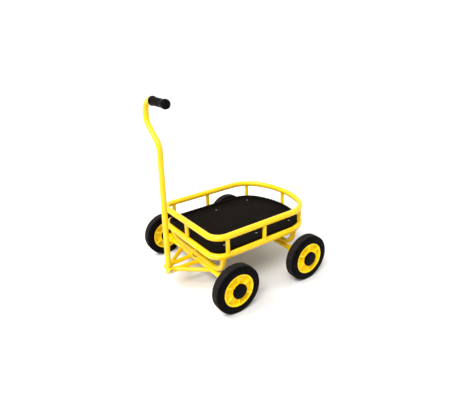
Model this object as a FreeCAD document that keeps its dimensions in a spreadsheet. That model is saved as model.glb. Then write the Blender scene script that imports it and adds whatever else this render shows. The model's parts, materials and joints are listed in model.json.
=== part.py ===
import FreeCAD, Part
import math
import os
import Sketcher

# A child's four-wheeled pull wagon: a welded tube frame with two rail loops, a flat
# moulded deck, a fixed rear axle, a steered front axle with an A-shaped drawbar, and a
# tall tube handle with a cross grip.
#
# Frame: +X is forward (the handle's end), +Y is the left side, +Z is up.  The floor is
# Z = 0 and X = 0 is halfway between the axles.  All sizes are millimetres.

Vector = FreeCAD.Vector

# ---------------------------------------------------------------- driving dimensions

SIZES = [
    # wheels
    ("wheel_radius", 100, "tyre crown above the floor to the axle"),
    ("tyre_half", 22, "half the tyre's width"),
    ("tyre_shoulder", 9, "rounding between sidewall and tread"),
    ("tread_groove", 2, "width of one groove round the tread"),
    ("groove_depth", 1.8, "depth of one groove round the tread"),
    ("groove_pitch", 7.4, "distance between two grooves"),
    ("rim_seat", 64.2, "radius of the rim under the tyre"),
    ("rim_flange", 67.8, "radius of the rim's outer lip"),
    ("rim_half", 20.5, "half the rim's width over its lips"),
    ("rim_lip", 5, "width of the lip's face"),
    ("web_half", 5, "half the thickness of the rim's web"),
    ("hub_radius", 26, "radius of the rim's hub barrel"),
    ("rib_width", 7, "thickness of one stiffening rib"),
    ("cap_radius", 31, "radius of the black hub cap and of the boot's flange"),
    ("cap_proud", 8.5, "how far a hub cap stands out of the tyre's side"),
    ("boot_reach", 45, "wheel's middle plane to the dust boot's inner end"),
    ("boot_radius", 20, "radius of the dust boot round the axle"),
    ("bearing_radius", 16, "outer radius of a wheel bearing"),
    ("bearing_width", 10, "width of a wheel bearing"),
    ("wheelbase", 370, "front axle to rear axle"),
    ("track", 577, "between the middle planes of a left and a right tyre"),
    # axles
    ("axle_rod", 6, "radius of the steel axle rod"),
    ("axle_tube", 12, "outer radius of the axle housing tube"),
    ("axle_wall", 2, "wall of the axle housing tube"),
    ("axle_tube_half", 196, "half the length of the axle housing tube"),
    ("collar_radius", 19, "radius of the end collar of an axle"),
    ("collar_end", 243, "from the middle plane to the outer face of a collar"),
    ("collar_nose", 9, "radius of the collar's nose that meets the bearing"),
    # rails
    ("rail_radius", 12.7, "outer radius of the rail tube"),
    ("rail_wall", 1.6, "wall of the rail tube"),
    ("rail_half_width", 211, "middle plane to a side rail's centreline"),
    ("rail_front", 220, "axle middle to the front rail's centreline"),
    ("rail_rear", 312, "axle middle to the rearmost point of the bowed rail"),
    ("front_corner", 55, "centreline radius of the two front corners"),
    ("rear_corner", 130, "centreline radius of the two rear corners"),
    ("rear_bow", 320, "centreline radius of the bowed rear rail"),
    ("top_rail_height", 282, "floor to the top rail's centreline"),
    ("lower_rail_height", 200, "floor to the lower rail's centreline"),
    # posts between the rails
    ("post_radius", 8.5, "outer radius of a rail post"),
    ("post_wall", 1.5, "wall of a rail post"),
    ("post_front_place", 163, "front pair of side posts, forward of the middle"),
    ("post_middle_place", 20, "middle pair of side posts, behind the middle"),
    ("post_corner_angle", 54, "rear corner posts, round the corner from straight back"),
    # deck
    ("deck_top", 212, "floor to the deck's flat surface"),
    ("deck_thickness", 10, "thickness of the deck's flat part"),
    ("deck_inset", 14.5, "rail centreline to the middle of the deck's rolled edge"),
    ("edge_radius", 8, "radius of the deck's rolled edge"),
    ("edge_height", 215, "floor to the middle of the rolled edge"),
    ("edge_cove", 4, "rounding between the rolled edge and the flat part"),
    ("notch_gap", 0.4, "clearance of the deck's notches round the posts"),
    ("screw_side", 150, "middle plane to a row of deck screws"),
    ("screw_front", 138, "front pair of deck screws, forward of the middle"),
    ("screw_middle", 28, "middle pair of deck screws, behind the middle"),
    ("screw_rear", 214, "rear pair of deck screws, behind the middle"),
    ("screw_radius", 3, "radius of a deck screw's shank"),
    ("screw_length", 24, "deck's surface to the tip of a deck screw"),
    ("crossbar_width", 20, "width of a bar under the deck"),
    ("crossbar_height", 14, "height of a bar under the deck"),
    ("crossbar_wall", 1.5, "wall of a bar under the deck"),
    # hoops that carry the axles
    ("hoop_radius", 11, "outer radius of a hoop's tube"),
    ("hoop_wall", 1.6, "wall of a hoop's tube"),
    ("hoop_head", 209, "middle plane to the top of a hoop's leg"),
    ("hoop_foot", 207, "middle plane to the corner of a hoop"),
    ("hoop_bend", 62, "centreline radius of a hoop's two bends"),
    ("front_hoop_height", 125, "floor to the front hoop's straight part"),
    # steering pivot
    ("head_radius", 9, "outer radius of the steering head and of the axle's boss"),
    ("thrust_radius", 16, "outer radius of the washer between head and boss"),
    ("head_top", 138, "floor to the top of the steering head"),
    ("head_bottom", 113.5, "floor to the bottom of the steering head"),
    ("boss_bottom", 86, "floor to the bottom of the axle's boss"),
    ("washer_gap", 0.3, "air between a turning face and the face beside it"),
    ("running_gap", 0.05, "radial clearance of a pin in a turning bore"),
    ("hex_radius", 11, "corner radius of an M12 hexagon"),
    ("hex_height", 7.5, "height of an M12 hexagon"),
    # drawbar
    ("drawbar_height", 98, "floor to the drawbar tubes"),
    ("drawbar_radius", 9.5, "outer radius of the two middle drawbar tubes"),
    ("brace_radius", 9, "outer radius of the two outer braces"),
    ("drawbar_wall", 1.5, "wall of the drawbar tubes"),
    ("drawbar_foot", 29, "middle plane to a middle tube at the axle"),
    ("drawbar_tip", 23.5, "middle plane to a middle tube at its front end"),
    ("drawbar_end", 306, "axle middle to the middle tubes' front ends"),
    ("brace_foot", 122, "middle plane to a brace at the axle"),
    ("brace_end", 297, "axle middle to the front ends of the braces"),
    ("pivot_place", 320, "axle middle to the handle's pivot"),
    ("pivot_height", 96, "floor to the handle's pivot"),
    ("lug_inner", 14.2, "middle plane to a lug's inner face"),
    ("lug_outer", 26, "middle plane to a lug's outer face"),
    ("lug_radius", 10, "radius of a lug's round end"),
    ("lug_root", 290, "axle middle to the back of a lug"),
    ("bolt_radius", 4, "radius of the handle's pivot bolt"),
    ("bolt_hex", 7.5, "corner radius of the pivot bolt's hexagon"),
    ("bolt_head", 5, "height of the pivot bolt's head"),
    # handle
    ("handle_radius", 11.6, "outer radius of the handle tube"),
    ("handle_wall", 1.6, "wall of the handle tube"),
    ("handle_lean", 2.7, "how far the resting handle leans back, in degrees"),
    ("handle_tail", 20, "handle tube below the pivot"),
    ("handle_length", 677, "pivot to the grip's centreline"),
    ("handle_knee", 518, "pivot to the handle's lower bend"),
    ("handle_elbow", 593, "pivot to the handle's middle bend"),
    ("handle_drift", 20, "sideways at the lower bend"),
    ("handle_offset", 122.5, "sideways at the middle and upper bends"),
    ("handle_bend", 58, "centreline radius of the lower and middle bends"),
    ("handle_top_bend", 46, "centreline radius of the upper bend"),
    ("bush_radius", 7, "outer radius of the pivot bush"),
    ("grip_start", 60, "middle plane to the grip's inner end"),
    ("grip_end", 59, "middle plane to the grip's outer end"),
    ("grip_waist", 16.2, "radius of the grip at its middle"),
    ("grip_flange", 18.6, "radius of the grip's inner flange"),
    ("grip_ball", 19.2, "radius of the grip's round outer end"),
]

doc = FreeCAD.newDocument("pull_wagon")
sheet = doc.addObject("Spreadsheet::Sheet", "dim")
for row, (alias, number, meaning) in enumerate(SIZES, start=1):
    sheet.set(f"A{row}", alias)
    sheet.set(f"B{row}", str(number))
    sheet.set(f"C{row}", meaning)
    sheet.setAlias(f"B{row}", alias)
doc.recompute()

# Lengths that follow from the driving dimensions.
AXLE_PLACE = "dim.wheelbase / 2"
WHEEL_PLACE = "dim.track / 2"
AXLE_HEIGHT = "dim.wheel_radius"
REAR_HOOP_HEIGHT = "dim.wheel_radius + dim.axle_tube + dim.hoop_radius"
BOW_CENTRE = "dim.rear_bow - dim.rail_rear"
CORNER_SPAN = "sqrt((dim.rear_bow - dim.rear_corner)^2 - (dim.rail_half_width - dim.rear_corner)^2)"
CORNER_CENTRE = f"({BOW_CENTRE} - {CORNER_SPAN})"
BEARING_NEAR = "(dim.track / 2 - dim.rim_half)"
OUTER_SEAT = 2            # outer bearing's shoulder, outside the wheel's middle plane
WASHER_THICKNESS = 2
SHANK_SPARE = 2.5         # thread that shows past a nut
CAP_SKIN = 2.2            # wall of a hub cap
HOLE_GAP = 0.2            # radial clearance round a fixed screw or bolt
SEAT_GAP = 0.1            # clearance between two pressed or snapped pieces
OVERLAP = 1               # how far two solids run into each other before they are joined
ROD_SPARE = 0.7           # axle rod that shows past its nut
WASHER_RIM = 0.5          # how much smaller a washer is than its nut
COLLAR_ROUNDING = 2.5     # rounding of a collar's ends
FRONT_BAR_SINK = 4        # a crossbar's end, inside the rail's centre line
REAR_BAR_SINK = 6         # the same at the rear, where the rail already curves
SCREW_DOME = 2.4          # ball radius of a screw's head, in shank radii
SCREW_SINK = 1.25         # the ball's centre below the head's seat, in shank radii
SCREW_SOCKET = 0.6        # size of a screw's socket, in shank radii
SOCKET_FLOOR = 1.6        # floor of a screw's socket above the head's seat
FLAT_DEPTH = 10           # depth of the solid that cuts a screw's ball flat
RECESS_DEPTH = 3.7        # depth of the round recess that holds a screw's head
RECESS_SIZE = 2.2         # radius of that recess, in shank radii
SEAT_LEVEL = f"dim.deck_top - {RECESS_DEPTH}"

kept = {}


# ---------------------------------------------------------------- small helpers

def value(expression):
    """The number that an expression over the sheet stands for."""
    return float(sheet.evalExpression(str(expression)))


def keep(thing, node):
    """Name an object as one finished sub-part."""
    thing.Label = node
    kept[node] = thing
    return thing


def place(thing, x=0, y=0, z=0, yaw=0, pitch=0, roll=0):
    """Put an object at a point, turned by yaw, pitch and roll in degrees."""
    turn = f"rotation({yaw}; {pitch}; {roll})"
    thing.setExpression("Placement", f"placement(vector({x}; {y}; {z}); {turn})")
    return thing


def new_body(name):
    return doc.addObject("PartDesign::Body", name)


def sketch_on(body, role, name="outline"):
    """A sketch on one of the body's own origin planes."""
    plane = next(f for f in body.Origin.OriginFeatures if f.Role == role)
    sketch = body.newObject("Sketcher::SketchObject", name)
    sketch.AttachmentSupport = [(plane, "")]
    sketch.MapMode = "FlatFace"
    return sketch


def bind_last(sketch, index, expression):
    sketch.setExpression(f"Constraints[{index}]", str(expression))


def fix_point(sketch, geometry, end, x, y):
    """Tie a point of a sketch to two expressions."""
    for kind, expression in (("DistanceX", x), ("DistanceY", y)):
        size = value(expression)
        index = sketch.addConstraint(Sketcher.Constraint(kind, -1, 1, geometry, end, size))
        bind_last(sketch, index, expression)


def fix_radius(sketch, geometry, expression):
    index = sketch.addConstraint(Sketcher.Constraint("Radius", geometry, value(expression)))
    bind_last(sketch, index, expression)


def add_circle(sketch, x, y, radius):
    centre = Vector(value(x), value(y), 0)
    circle = Part.Circle(centre, Vector(0, 0, 1), value(radius))
    geometry = sketch.addGeometry(circle)
    fix_point(sketch, geometry, 3, x, y)
    fix_radius(sketch, geometry, radius)


def add_polygon(sketch, corners):
    """A closed outline of straight lines, every corner tied to the sheet."""
    points = [Vector(value(x), value(y), 0) for x, y in corners]
    following = points[1:] + points[:1]
    lines = [sketch.addGeometry(Part.LineSegment(a, b)) for a, b in zip(points, following)]
    for line, after in zip(lines, lines[1:] + lines[:1]):
        sketch.addConstraint(Sketcher.Constraint("Coincident", line, 2, after, 1))
    for line, (x, y) in zip(lines, corners):
        fix_point(sketch, line, 1, x, y)


def arc_between(centre, start, end, radius):
    """The shorter arc about centre; sketches keep arcs anticlockwise."""
    first = math.atan2(start.y - centre.y, start.x - centre.x)
    last = math.atan2(end.y - centre.y, end.x - centre.x)
    turn = (last - first + math.pi) % (2 * math.pi) - math.pi
    begin = first if turn > 0 else last
    circle = Part.Circle(centre, Vector(0, 0, 1), radius)
    return Part.ArcOfCircle(circle, begin, begin + abs(turn))


def bent_path(sketch, corners, bends):
    """An open path of straight runs joined by tangent bends."""
    points = [Vector(value(x), value(y), 0) for x, y in corners]
    start = points[0]
    lines = []
    arcs = []
    for number, bend in enumerate(bends, start=1):
        corner = points[number]
        radius = value(bend)
        back = (points[number - 1] - corner).normalize()
        ahead = (points[number + 1] - corner).normalize()
        half = back.getAngle(ahead) / 2
        enter = corner + back * (radius / math.tan(half))
        leave = corner + ahead * (radius / math.tan(half))
        centre = corner + (back + ahead).normalize() * (radius / math.sin(half))
        lines.append(sketch.addGeometry(Part.LineSegment(start, enter)))
        curve = arc_between(centre, enter, leave, radius)
        arcs.append((sketch.addGeometry(curve), (curve.StartPoint - enter).Length < 1e-6))
        start = leave
    lines.append(sketch.addGeometry(Part.LineSegment(start, points[-1])))
    for number, (arc, forward) in enumerate(arcs):
        near, far = (1, 2) if forward else (2, 1)
        before, after = lines[number], lines[number + 1]
        sketch.addConstraint(Sketcher.Constraint("Tangent", before, 2, arc, near))
        sketch.addConstraint(Sketcher.Constraint("Tangent", arc, far, after, 1))
        fix_radius(sketch, arc, bends[number])
        mark = sketch.addGeometry(Part.Point(points[number + 1]), True)
        fix_point(sketch, mark, 1, *corners[number + 1])
        sketch.addConstraint(Sketcher.Constraint("PointOnObject", mark, 1, before))
        sketch.addConstraint(Sketcher.Constraint("PointOnObject", mark, 1, after))
    fix_point(sketch, lines[0], 1, *corners[0])
    fix_point(sketch, lines[-1], 2, *corners[-1])


def wagon_outline(sketch, inset="0"):
    """The wagon's plan: straight front and sides, round corners, bowed rear.

    The loop starts in the middle of the front and runs anticlockwise.
    """
    front = f"(dim.rail_front - {inset})"
    side = f"(dim.rail_half_width - {inset})"
    near = f"(dim.front_corner - {inset})"
    far = f"(dim.rear_corner - {inset})"
    bow = f"(dim.rear_bow - {inset})"
    x_front = value(front)
    y_side = value(side)
    r_near = value(near)
    r_far = value(far)
    r_bow = value(bow)
    x_corner = value(CORNER_CENTRE)
    x_bow = value(BOW_CENTRE)
    sweep = math.atan2(y_side - r_far, x_bow - x_corner)
    up = Vector(0, 0, 1)

    def corner_arc(x, y, radius, begin, end):
        circle = Part.Circle(Vector(x, y, 0), up, radius)
        return Part.ArcOfCircle(circle, begin, end)

    quarter = math.pi / 2
    pieces = [
        Part.LineSegment(Vector(x_front, 0, 0), Vector(x_front, y_side - r_near, 0)),
        corner_arc(x_front - r_near, y_side - r_near, r_near, 0, quarter),
        Part.LineSegment(Vector(x_front - r_near, y_side, 0), Vector(x_corner, y_side, 0)),
        corner_arc(x_corner, y_side - r_far, r_far, quarter, math.pi - sweep),
        corner_arc(x_bow, 0, r_bow, math.pi - sweep, math.pi + sweep),
        corner_arc(x_corner, r_far - y_side, r_far, math.pi + sweep, 3 * quarter),
        Part.LineSegment(Vector(x_corner, -y_side, 0), Vector(x_front - r_near, -y_side, 0)),
        corner_arc(x_front - r_near, r_near - y_side, r_near, 3 * quarter, 4 * quarter),
        Part.LineSegment(Vector(x_front, r_near - y_side, 0), Vector(x_front, 0, 0)),
    ]
    edges = [sketch.addGeometry(piece) for piece in pieces]
    for edge, after in zip(edges[:-1], edges[1:]):
        sketch.addConstraint(Sketcher.Constraint("Tangent", edge, 2, after, 1))
    sketch.addConstraint(Sketcher.Constraint("Coincident", edges[-1], 2, edges[0], 1))
    sketch.addConstraint(Sketcher.Constraint("Vertical", edges[0]))
    sketch.addConstraint(Sketcher.Constraint("Vertical", edges[-1]))
    fix_point(sketch, edges[0], 1, front, "0")
    for arc, radius in ((1, near), (7, near), (3, far), (5, far), (4, bow)):
        fix_radius(sketch, edges[arc], radius)
    for line, height in ((2, side), (6, f"-{side}")):
        size = value(height)
        level = Sketcher.Constraint("DistanceY", -1, 1, edges[line], 1, size)
        bind_last(sketch, sketch.addConstraint(level), height)


def pipe(name, draw_path, radius, role="XY_Plane"):
    """A body that sweeps a disc along a path sketch."""
    body = new_body(name)
    path = sketch_on(body, role, "path")
    draw_path(path)
    doc.recompute()
    disc = body.newObject("Sketcher::SketchObject", "section")
    disc.AttachmentSupport = [(path, "Edge1")]
    disc.MapMode = "NormalToEdge"
    disc.MapPathParameter = 0.0
    circle = disc.addGeometry(Part.Circle(Vector(), Vector(0, 0, 1), value(radius)))
    disc.addConstraint(Sketcher.Constraint("Coincident", circle, 3, -1, 1))
    fix_radius(disc, circle, radius)
    sweep = body.newObject("PartDesign::AdditivePipe", "sweep")
    sweep.Profile = disc
    sweep.Spine = (path, [f"Edge{n + 1}" for n in range(len(path.Shape.Edges))])
    doc.recompute()
    return body


def turned(name, corners):
    """A body turned about the Y axis from (along the axis, radius) corners."""
    body = new_body(name)
    outline = sketch_on(body, "YZ_Plane")
    add_polygon(outline, corners)
    turn = body.newObject("PartDesign::Revolution", "turn")
    turn.Profile = outline
    turn.ReferenceAxis = (outline, ["H_Axis"])
    turn.Angle = 360
    doc.recompute()
    return body


def round_edges(body, wanted, radius, name="rounding"):
    """Fillet the edges of the body's last feature that wanted() picks."""
    doc.recompute()
    base = body.Tip
    names = [f"Edge{n + 1}" for n, edge in enumerate(base.Shape.Edges) if wanted(edge)]
    fillet = body.newObject("PartDesign::Fillet", name)
    fillet.Base = (base, names)
    fillet.setExpression("Radius", str(radius))
    doc.recompute()
    return fillet


def circle_edge(edge, radius, along=None):
    """True for a circular edge about the Y axis of this radius, at this place along it."""
    curve = edge.Curve
    if not isinstance(curve, Part.Circle):
        return False
    same_place = along is None or abs(curve.Center.y - along) < 0.01
    return same_place and abs(curve.Radius - radius) < 0.01


def cylinder(name, radius, length, x=0, y=0, z=0, yaw=0, pitch=0, roll=0):
    """A cylinder that starts at a point and runs along its turned Z axis."""
    rod = doc.addObject("Part::Cylinder", name)
    rod.setExpression("Radius", str(radius))
    rod.setExpression("Height", str(length))
    return place(rod, x, y, z, yaw, pitch, roll)


def cross_cylinder(name, radius, x, y_from, y_to, z):
    """A cylinder along Y between two places."""
    return cylinder(name, radius, f"({y_to}) - ({y_from})", x, y_from, z, roll=-90)


def block(name, x, y, z, length, width, height):
    box = doc.addObject("Part::Box", name)
    for size, expression in (("Length", length), ("Width", width), ("Height", height)):
        box.setExpression(size, str(expression))
    return place(box, x, y, z)


def hexagon(name, radius, height, x, y, z, roll=0):
    """A hexagonal prism along its turned Z axis."""
    prism = doc.addObject("Part::Prism", name)
    prism.Polygon = 6
    prism.setExpression("Circumradius", str(radius))
    prism.setExpression("Height", str(height))
    return place(prism, x, y, z, roll=roll)


def cut(name, base, *tools):
    """base without each of the tools."""
    result = base
    for number, tool in enumerate(tools, start=1):
        step = doc.addObject("Part::Cut", f"{name}_cut{number}")
        step.Base = result
        step.Tool = tool
        result = step
    return result


def fuse(name, *shapes):
    joined = doc.addObject("Part::MultiFuse", name)
    joined.Shapes = list(shapes)
    return joined


def group(name, pieces):
    """Several separate solids that share one node."""
    together = doc.addObject("Part::Compound", name)
    together.Links = list(pieces)
    return together


# ---------------------------------------------------------------- rails and posts

def rail(node, height):
    """One closed loop of round tube; returns its solid core for coping."""
    outer = place(pipe(f"{node}_outer", wagon_outline, "dim.rail_radius"), z=height)
    inner_radius = "dim.rail_radius - dim.rail_wall"
    bore = place(pipe(f"{node}_bore", wagon_outline, inner_radius), z=height)
    keep(cut(node, outer, bore), node)
    return outer


def post(node, x, y, rails):
    """An upright between the two rails, its ends coped to them."""
    length = "dim.top_rail_height - dim.lower_rail_height"
    outer = cylinder(f"{node}_outer", "dim.post_radius", length, x, y, "dim.lower_rail_height")
    inner_radius = "dim.post_radius - dim.post_wall"
    bore = cylinder(f"{node}_bore", inner_radius, length, x, y, "dim.lower_rail_height")
    keep(cut(node, outer, rails, bore), node)


def post_places():
    """Name and place of every post."""
    side = "dim.rail_half_width"
    corner_x = f"{CORNER_CENTRE} - dim.rear_corner * cos(dim.post_corner_angle)"
    corner_y = f"{side} - dim.rear_corner + dim.rear_corner * sin(dim.post_corner_angle)"
    places = {"post_front": ("dim.rail_front", "0"), "post_rear": ("-dim.rail_rear", "0")}
    for hand, sign in (("left", "1"), ("right", "-1")):
        places[f"post_side_front_{hand}"] = ("dim.post_front_place", f"{sign} * {side}")
        places[f"post_side_middle_{hand}"] = ("-dim.post_middle_place", f"{sign} * {side}")
        places[f"post_rear_corner_{hand}"] = (corner_x, f"{sign} * ({corner_y})")
    return places


def all_posts(rails):
    for node, (x, y) in post_places().items():
        post(node, x, y, rails)


# ---------------------------------------------------------------- deck

SCREW_ROWS = ("dim.screw_front", "-dim.screw_middle", "-dim.screw_rear")


def deck():
    """A flat moulded deck with a rolled edge that lies inside the lower rail."""
    body = new_body("deck_body")
    flat = sketch_on(body, "XY_Plane", "flat")
    wagon_outline(flat, "dim.deck_inset")
    pad = body.newObject("PartDesign::Pad", "floor")
    pad.Profile = flat
    pad.setExpression("Length", "dim.deck_thickness")
    doc.recompute()
    path = sketch_on(body, "XY_Plane", "edge_path")
    rise = "(dim.edge_height - dim.deck_top + dim.deck_thickness)"
    path.setExpression("AttachmentOffset.Base.z", rise)
    wagon_outline(path, "dim.deck_inset")
    doc.recompute()
    disc = body.newObject("Sketcher::SketchObject", "edge_section")
    disc.AttachmentSupport = [(path, "Edge1")]
    disc.MapMode = "NormalToEdge"
    circle = disc.addGeometry(Part.Circle(Vector(), Vector(0, 0, 1), value("dim.edge_radius")))
    disc.addConstraint(Sketcher.Constraint("Coincident", circle, 3, -1, 1))
    fix_radius(disc, circle, "dim.edge_radius")
    roll = body.newObject("PartDesign::AdditivePipe", "rolled_edge")
    roll.Profile = disc
    roll.Spine = (path, [f"Edge{n + 1}" for n in range(len(path.Shape.Edges))])
    doc.recompute()
    surface = value("dim.deck_thickness")

    def inner_corner(edge):
        box = edge.BoundBox
        return abs(box.ZMin - surface) < 0.01 and abs(box.ZMax - surface) < 0.01

    round_edges(body, inner_corner, "dim.edge_cove", "cove")
    place(body, z="dim.deck_top - dim.deck_thickness")
    return body


def screw_holes():
    """Holes and head recesses for the deck screws, through the deck and the bars under it."""
    radius = f"dim.screw_radius + {HOLE_GAP}"
    length = "dim.screw_length + dim.deck_thickness"
    start = "dim.deck_top - dim.screw_length"
    holes = []
    for row, x in enumerate(SCREW_ROWS):
        for hand, sign in (("left", "1"), ("right", "-1")):
            y = f"{sign} * dim.screw_side"
            holes.append(cylinder(f"hole_{row}_{hand}", radius, length, x, y, start))
            holes.append(cylinder(f"recess_{row}_{hand}", f"dim.screw_radius * {RECESS_SIZE}",
                                  RECESS_DEPTH + OVERLAP, x, y, SEAT_LEVEL))
    return fuse("screw_holes", *holes)


def post_notches():
    """Round notches in the deck's rolled edge that clear the posts."""
    radius = "dim.post_radius + dim.notch_gap"
    return fuse("post_notches", *[
        cylinder(f"notch_{node}", radius, "dim.post_radius * 4", x, y, "dim.lower_rail_height")
        for node, (x, y) in post_places().items()
    ])


def deck_screw(number, x, y):
    """A domed screw: a low round head with a socket, on a plain shank."""
    head = doc.addObject("Part::Sphere", f"screw_head_{number}")
    head.setExpression("Radius", f"dim.screw_radius * {SCREW_DOME}")
    head.Angle1 = 0
    place(head, x, y, f"{SEAT_LEVEL} - dim.screw_radius * {SCREW_SINK}")
    flat = cylinder(f"screw_flat_{number}", f"dim.screw_radius * {SCREW_DOME} + {OVERLAP}",
                    FLAT_DEPTH, x, y, f"{SEAT_LEVEL} - {FLAT_DEPTH}")
    socket = hexagon(f"screw_socket_{number}", f"dim.screw_radius * {SCREW_SOCKET}",
                     "dim.screw_radius * 2", x, y, f"{SEAT_LEVEL} + {SOCKET_FLOOR}")
    shank = cylinder(f"screw_shank_{number}", "dim.screw_radius",
                     f"dim.screw_length - {RECESS_DEPTH} + {OVERLAP} / 2", x, y,
                     "dim.deck_top - dim.screw_length")
    domed = cut(f"screw_dome_{number}", head, flat, socket)
    return fuse(f"screw_{number}", domed, shank)


def crossbar(number, x, lower_rail, holes):
    """A rectangular bar between the side rails that carries the deck."""
    half = f"(dim.rail_half_width - {FRONT_BAR_SINK})"
    if number == 2:
        reach = f"sqrt(dim.rear_corner^2 - (dim.screw_rear + {CORNER_CENTRE})^2)"
        half = f"(dim.rail_half_width - dim.rear_corner + {reach} - {REAR_BAR_SINK})"
    bottom = "dim.deck_top - dim.deck_thickness - dim.crossbar_height"
    outer = block(f"bar_{number}", f"{x} - dim.crossbar_width / 2", f"-{half}", bottom,
                  "dim.crossbar_width", f"2 * {half}", "dim.crossbar_height")
    wall = "dim.crossbar_wall"
    hollow = block(f"bar_hollow_{number}", f"{x} - dim.crossbar_width / 2 + {wall}",
                   f"-{half}", f"{bottom} + {wall}", f"dim.crossbar_width - 2 * {wall}",
                   f"2 * {half}", f"dim.crossbar_height - 2 * {wall}")
    return cut(f"crossbar_{number}", outer, hollow, lower_rail, holes)


def deck_and_fixings(lower_rail):
    holes = screw_holes()
    keep(cut("deck", deck(), holes, post_notches()), "deck")
    bars = [crossbar(number, x, lower_rail, holes) for number, x in enumerate(SCREW_ROWS)]
    keep(group("crossbars", bars), "deck_crossbars")
    screws = []
    for x in SCREW_ROWS:
        for sign in ("1", "-1"):
            screws.append(deck_screw(len(screws), x, f"{sign} * dim.screw_side"))
    keep(group("screws", screws), "deck_screws")


# ---------------------------------------------------------------- hoops and axles

def hoop(node, x, height, *cutters):
    """A U of bent tube that hangs from the lower rail across the wagon."""
    corners = [
        ("dim.hoop_head", "dim.lower_rail_height"),
        ("dim.hoop_foot", height),
        ("-dim.hoop_foot", height),
        ("-dim.hoop_head", "dim.lower_rail_height"),
    ]
    bends = ["dim.hoop_bend", "dim.hoop_bend"]

    def path(sketch):
        bent_path(sketch, corners, bends)

    outer = place(pipe(f"{node}_outer", path, "dim.hoop_radius", "YZ_Plane"), x=x)
    inner_radius = "dim.hoop_radius - dim.hoop_wall"
    bore = place(pipe(f"{node}_bore", path, inner_radius, "YZ_Plane"), x=x)
    keep(cut(node, outer, *cutters, bore), node)


def axle_tube(node, x, *cutters):
    """The straight housing tube of one axle."""
    half = "dim.axle_tube_half"
    outer = cross_cylinder(f"{node}_outer", "dim.axle_tube", x, f"-{half}", half, AXLE_HEIGHT)
    inner_radius = "dim.axle_tube - dim.axle_wall"
    bore = cross_cylinder(f"{node}_bore", inner_radius, x, f"-{half}", half, AXLE_HEIGHT)
    keep(cut(node, outer, *cutters, bore), node)
    return outer


def axle_collars(node, x):
    """The two thick ends of an axle, each with a nose that meets a wheel bearing."""
    nose_end = f"{BEARING_NEAR} - dim.washer_gap"
    collars = []
    for hand, turn in (("left", 0), ("right", 180)):
        collar = turned(f"{node}_{hand}", [
            ("dim.axle_tube_half", "dim.axle_rod"),
            (nose_end, "dim.axle_rod"),
            (nose_end, "dim.collar_nose"),
            ("dim.collar_end", "dim.collar_nose"),
            ("dim.collar_end", "dim.collar_radius"),
            ("dim.axle_tube_half", "dim.collar_radius"),
        ])
        radius = value("dim.collar_radius")
        round_edges(collar, lambda edge: circle_edge(edge, radius), COLLAR_ROUNDING)
        collars.append(place(collar, x=x, z=AXLE_HEIGHT, yaw=turn))
    keep(group(f"{node}_pair", collars), node)


OUTER_BEARING_END = f"(dim.track / 2 + {OUTER_SEAT} + dim.bearing_width)"
WASHER_START = f"({OUTER_BEARING_END} + dim.washer_gap)"
NUT_START = f"({WASHER_START} + {WASHER_THICKNESS})"
NUT_END = f"({NUT_START} + dim.hex_height)"
ROD_END = f"({NUT_END} + {ROD_SPARE})"


def mirrored_rods(name, radius, x, y_from, y_to, z):
    """Two equal cylinders along Y, one on each side."""
    left = cross_cylinder(f"{name}_left", radius, x, y_from, y_to, z)
    right = cross_cylinder(f"{name}_right", radius, x, f"-({y_to})", f"-({y_from})", z)
    return left, right


def axle_ends(axle, x):
    """Washers and lock nuts that hold the wheels on one axle."""
    discs = mirrored_rods(f"{axle}_washer", f"dim.hex_radius - {WASHER_RIM}", x, WASHER_START,
                          NUT_START, AXLE_HEIGHT)
    holes = mirrored_rods(f"{axle}_washer_hole", "dim.axle_rod", x, WASHER_START,
                          NUT_START, AXLE_HEIGHT)
    washers = [cut(f"{axle}_ring_{n}", disc, hole) for n, (disc, hole) in enumerate(zip(discs, holes))]
    keep(group(f"{axle}_washer_pair", washers), f"{axle}_axle_washers")
    nut_holes = mirrored_rods(f"{axle}_nut_hole", "dim.axle_rod", x, NUT_START, NUT_END, AXLE_HEIGHT)
    nuts = []
    for hole, start in zip(nut_holes, (NUT_START, f"-{NUT_END}")):
        name = f"{axle}_nut_{len(nuts)}"
        prism = hexagon(name, "dim.hex_radius", "dim.hex_height", x, start, AXLE_HEIGHT, roll=-90)
        nuts.append(cut(f"{name}_bored", prism, hole))
    keep(group(f"{axle}_nut_pair", nuts), f"{axle}_axle_nuts")


def rear_axle():
    x = f"-{AXLE_PLACE}"
    axle_tube("rear_axle_tube", x)
    axle_collars("rear_axle_collars", x)
    rod = cross_cylinder("rear_rod", "dim.axle_rod", x, f"-{ROD_END}", ROD_END, AXLE_HEIGHT)
    keep(rod, "rear_axle_rod")
    axle_ends("rear", x)


def front_axle(boss):
    """The steered axle; its stub rods stop short of the king pin."""
    tube = axle_tube("front_axle_tube", AXLE_PLACE, boss)
    axle_collars("front_axle_collars", AXLE_PLACE)
    start = "dim.axle_tube_half - dim.collar_end + dim.axle_tube_half"
    stubs = mirrored_rods("front_stub", "dim.axle_rod", AXLE_PLACE, start, ROD_END, AXLE_HEIGHT)
    keep(group("front_stub_pair", stubs), "front_axle_stubs")
    axle_ends("front", AXLE_PLACE)
    return tube


# ---------------------------------------------------------------- steering pivot

BOSS_TOP = "(dim.wheel_radius + dim.axle_tube)"
PIN_GAP = "dim.axle_rod + dim.running_gap"


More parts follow.
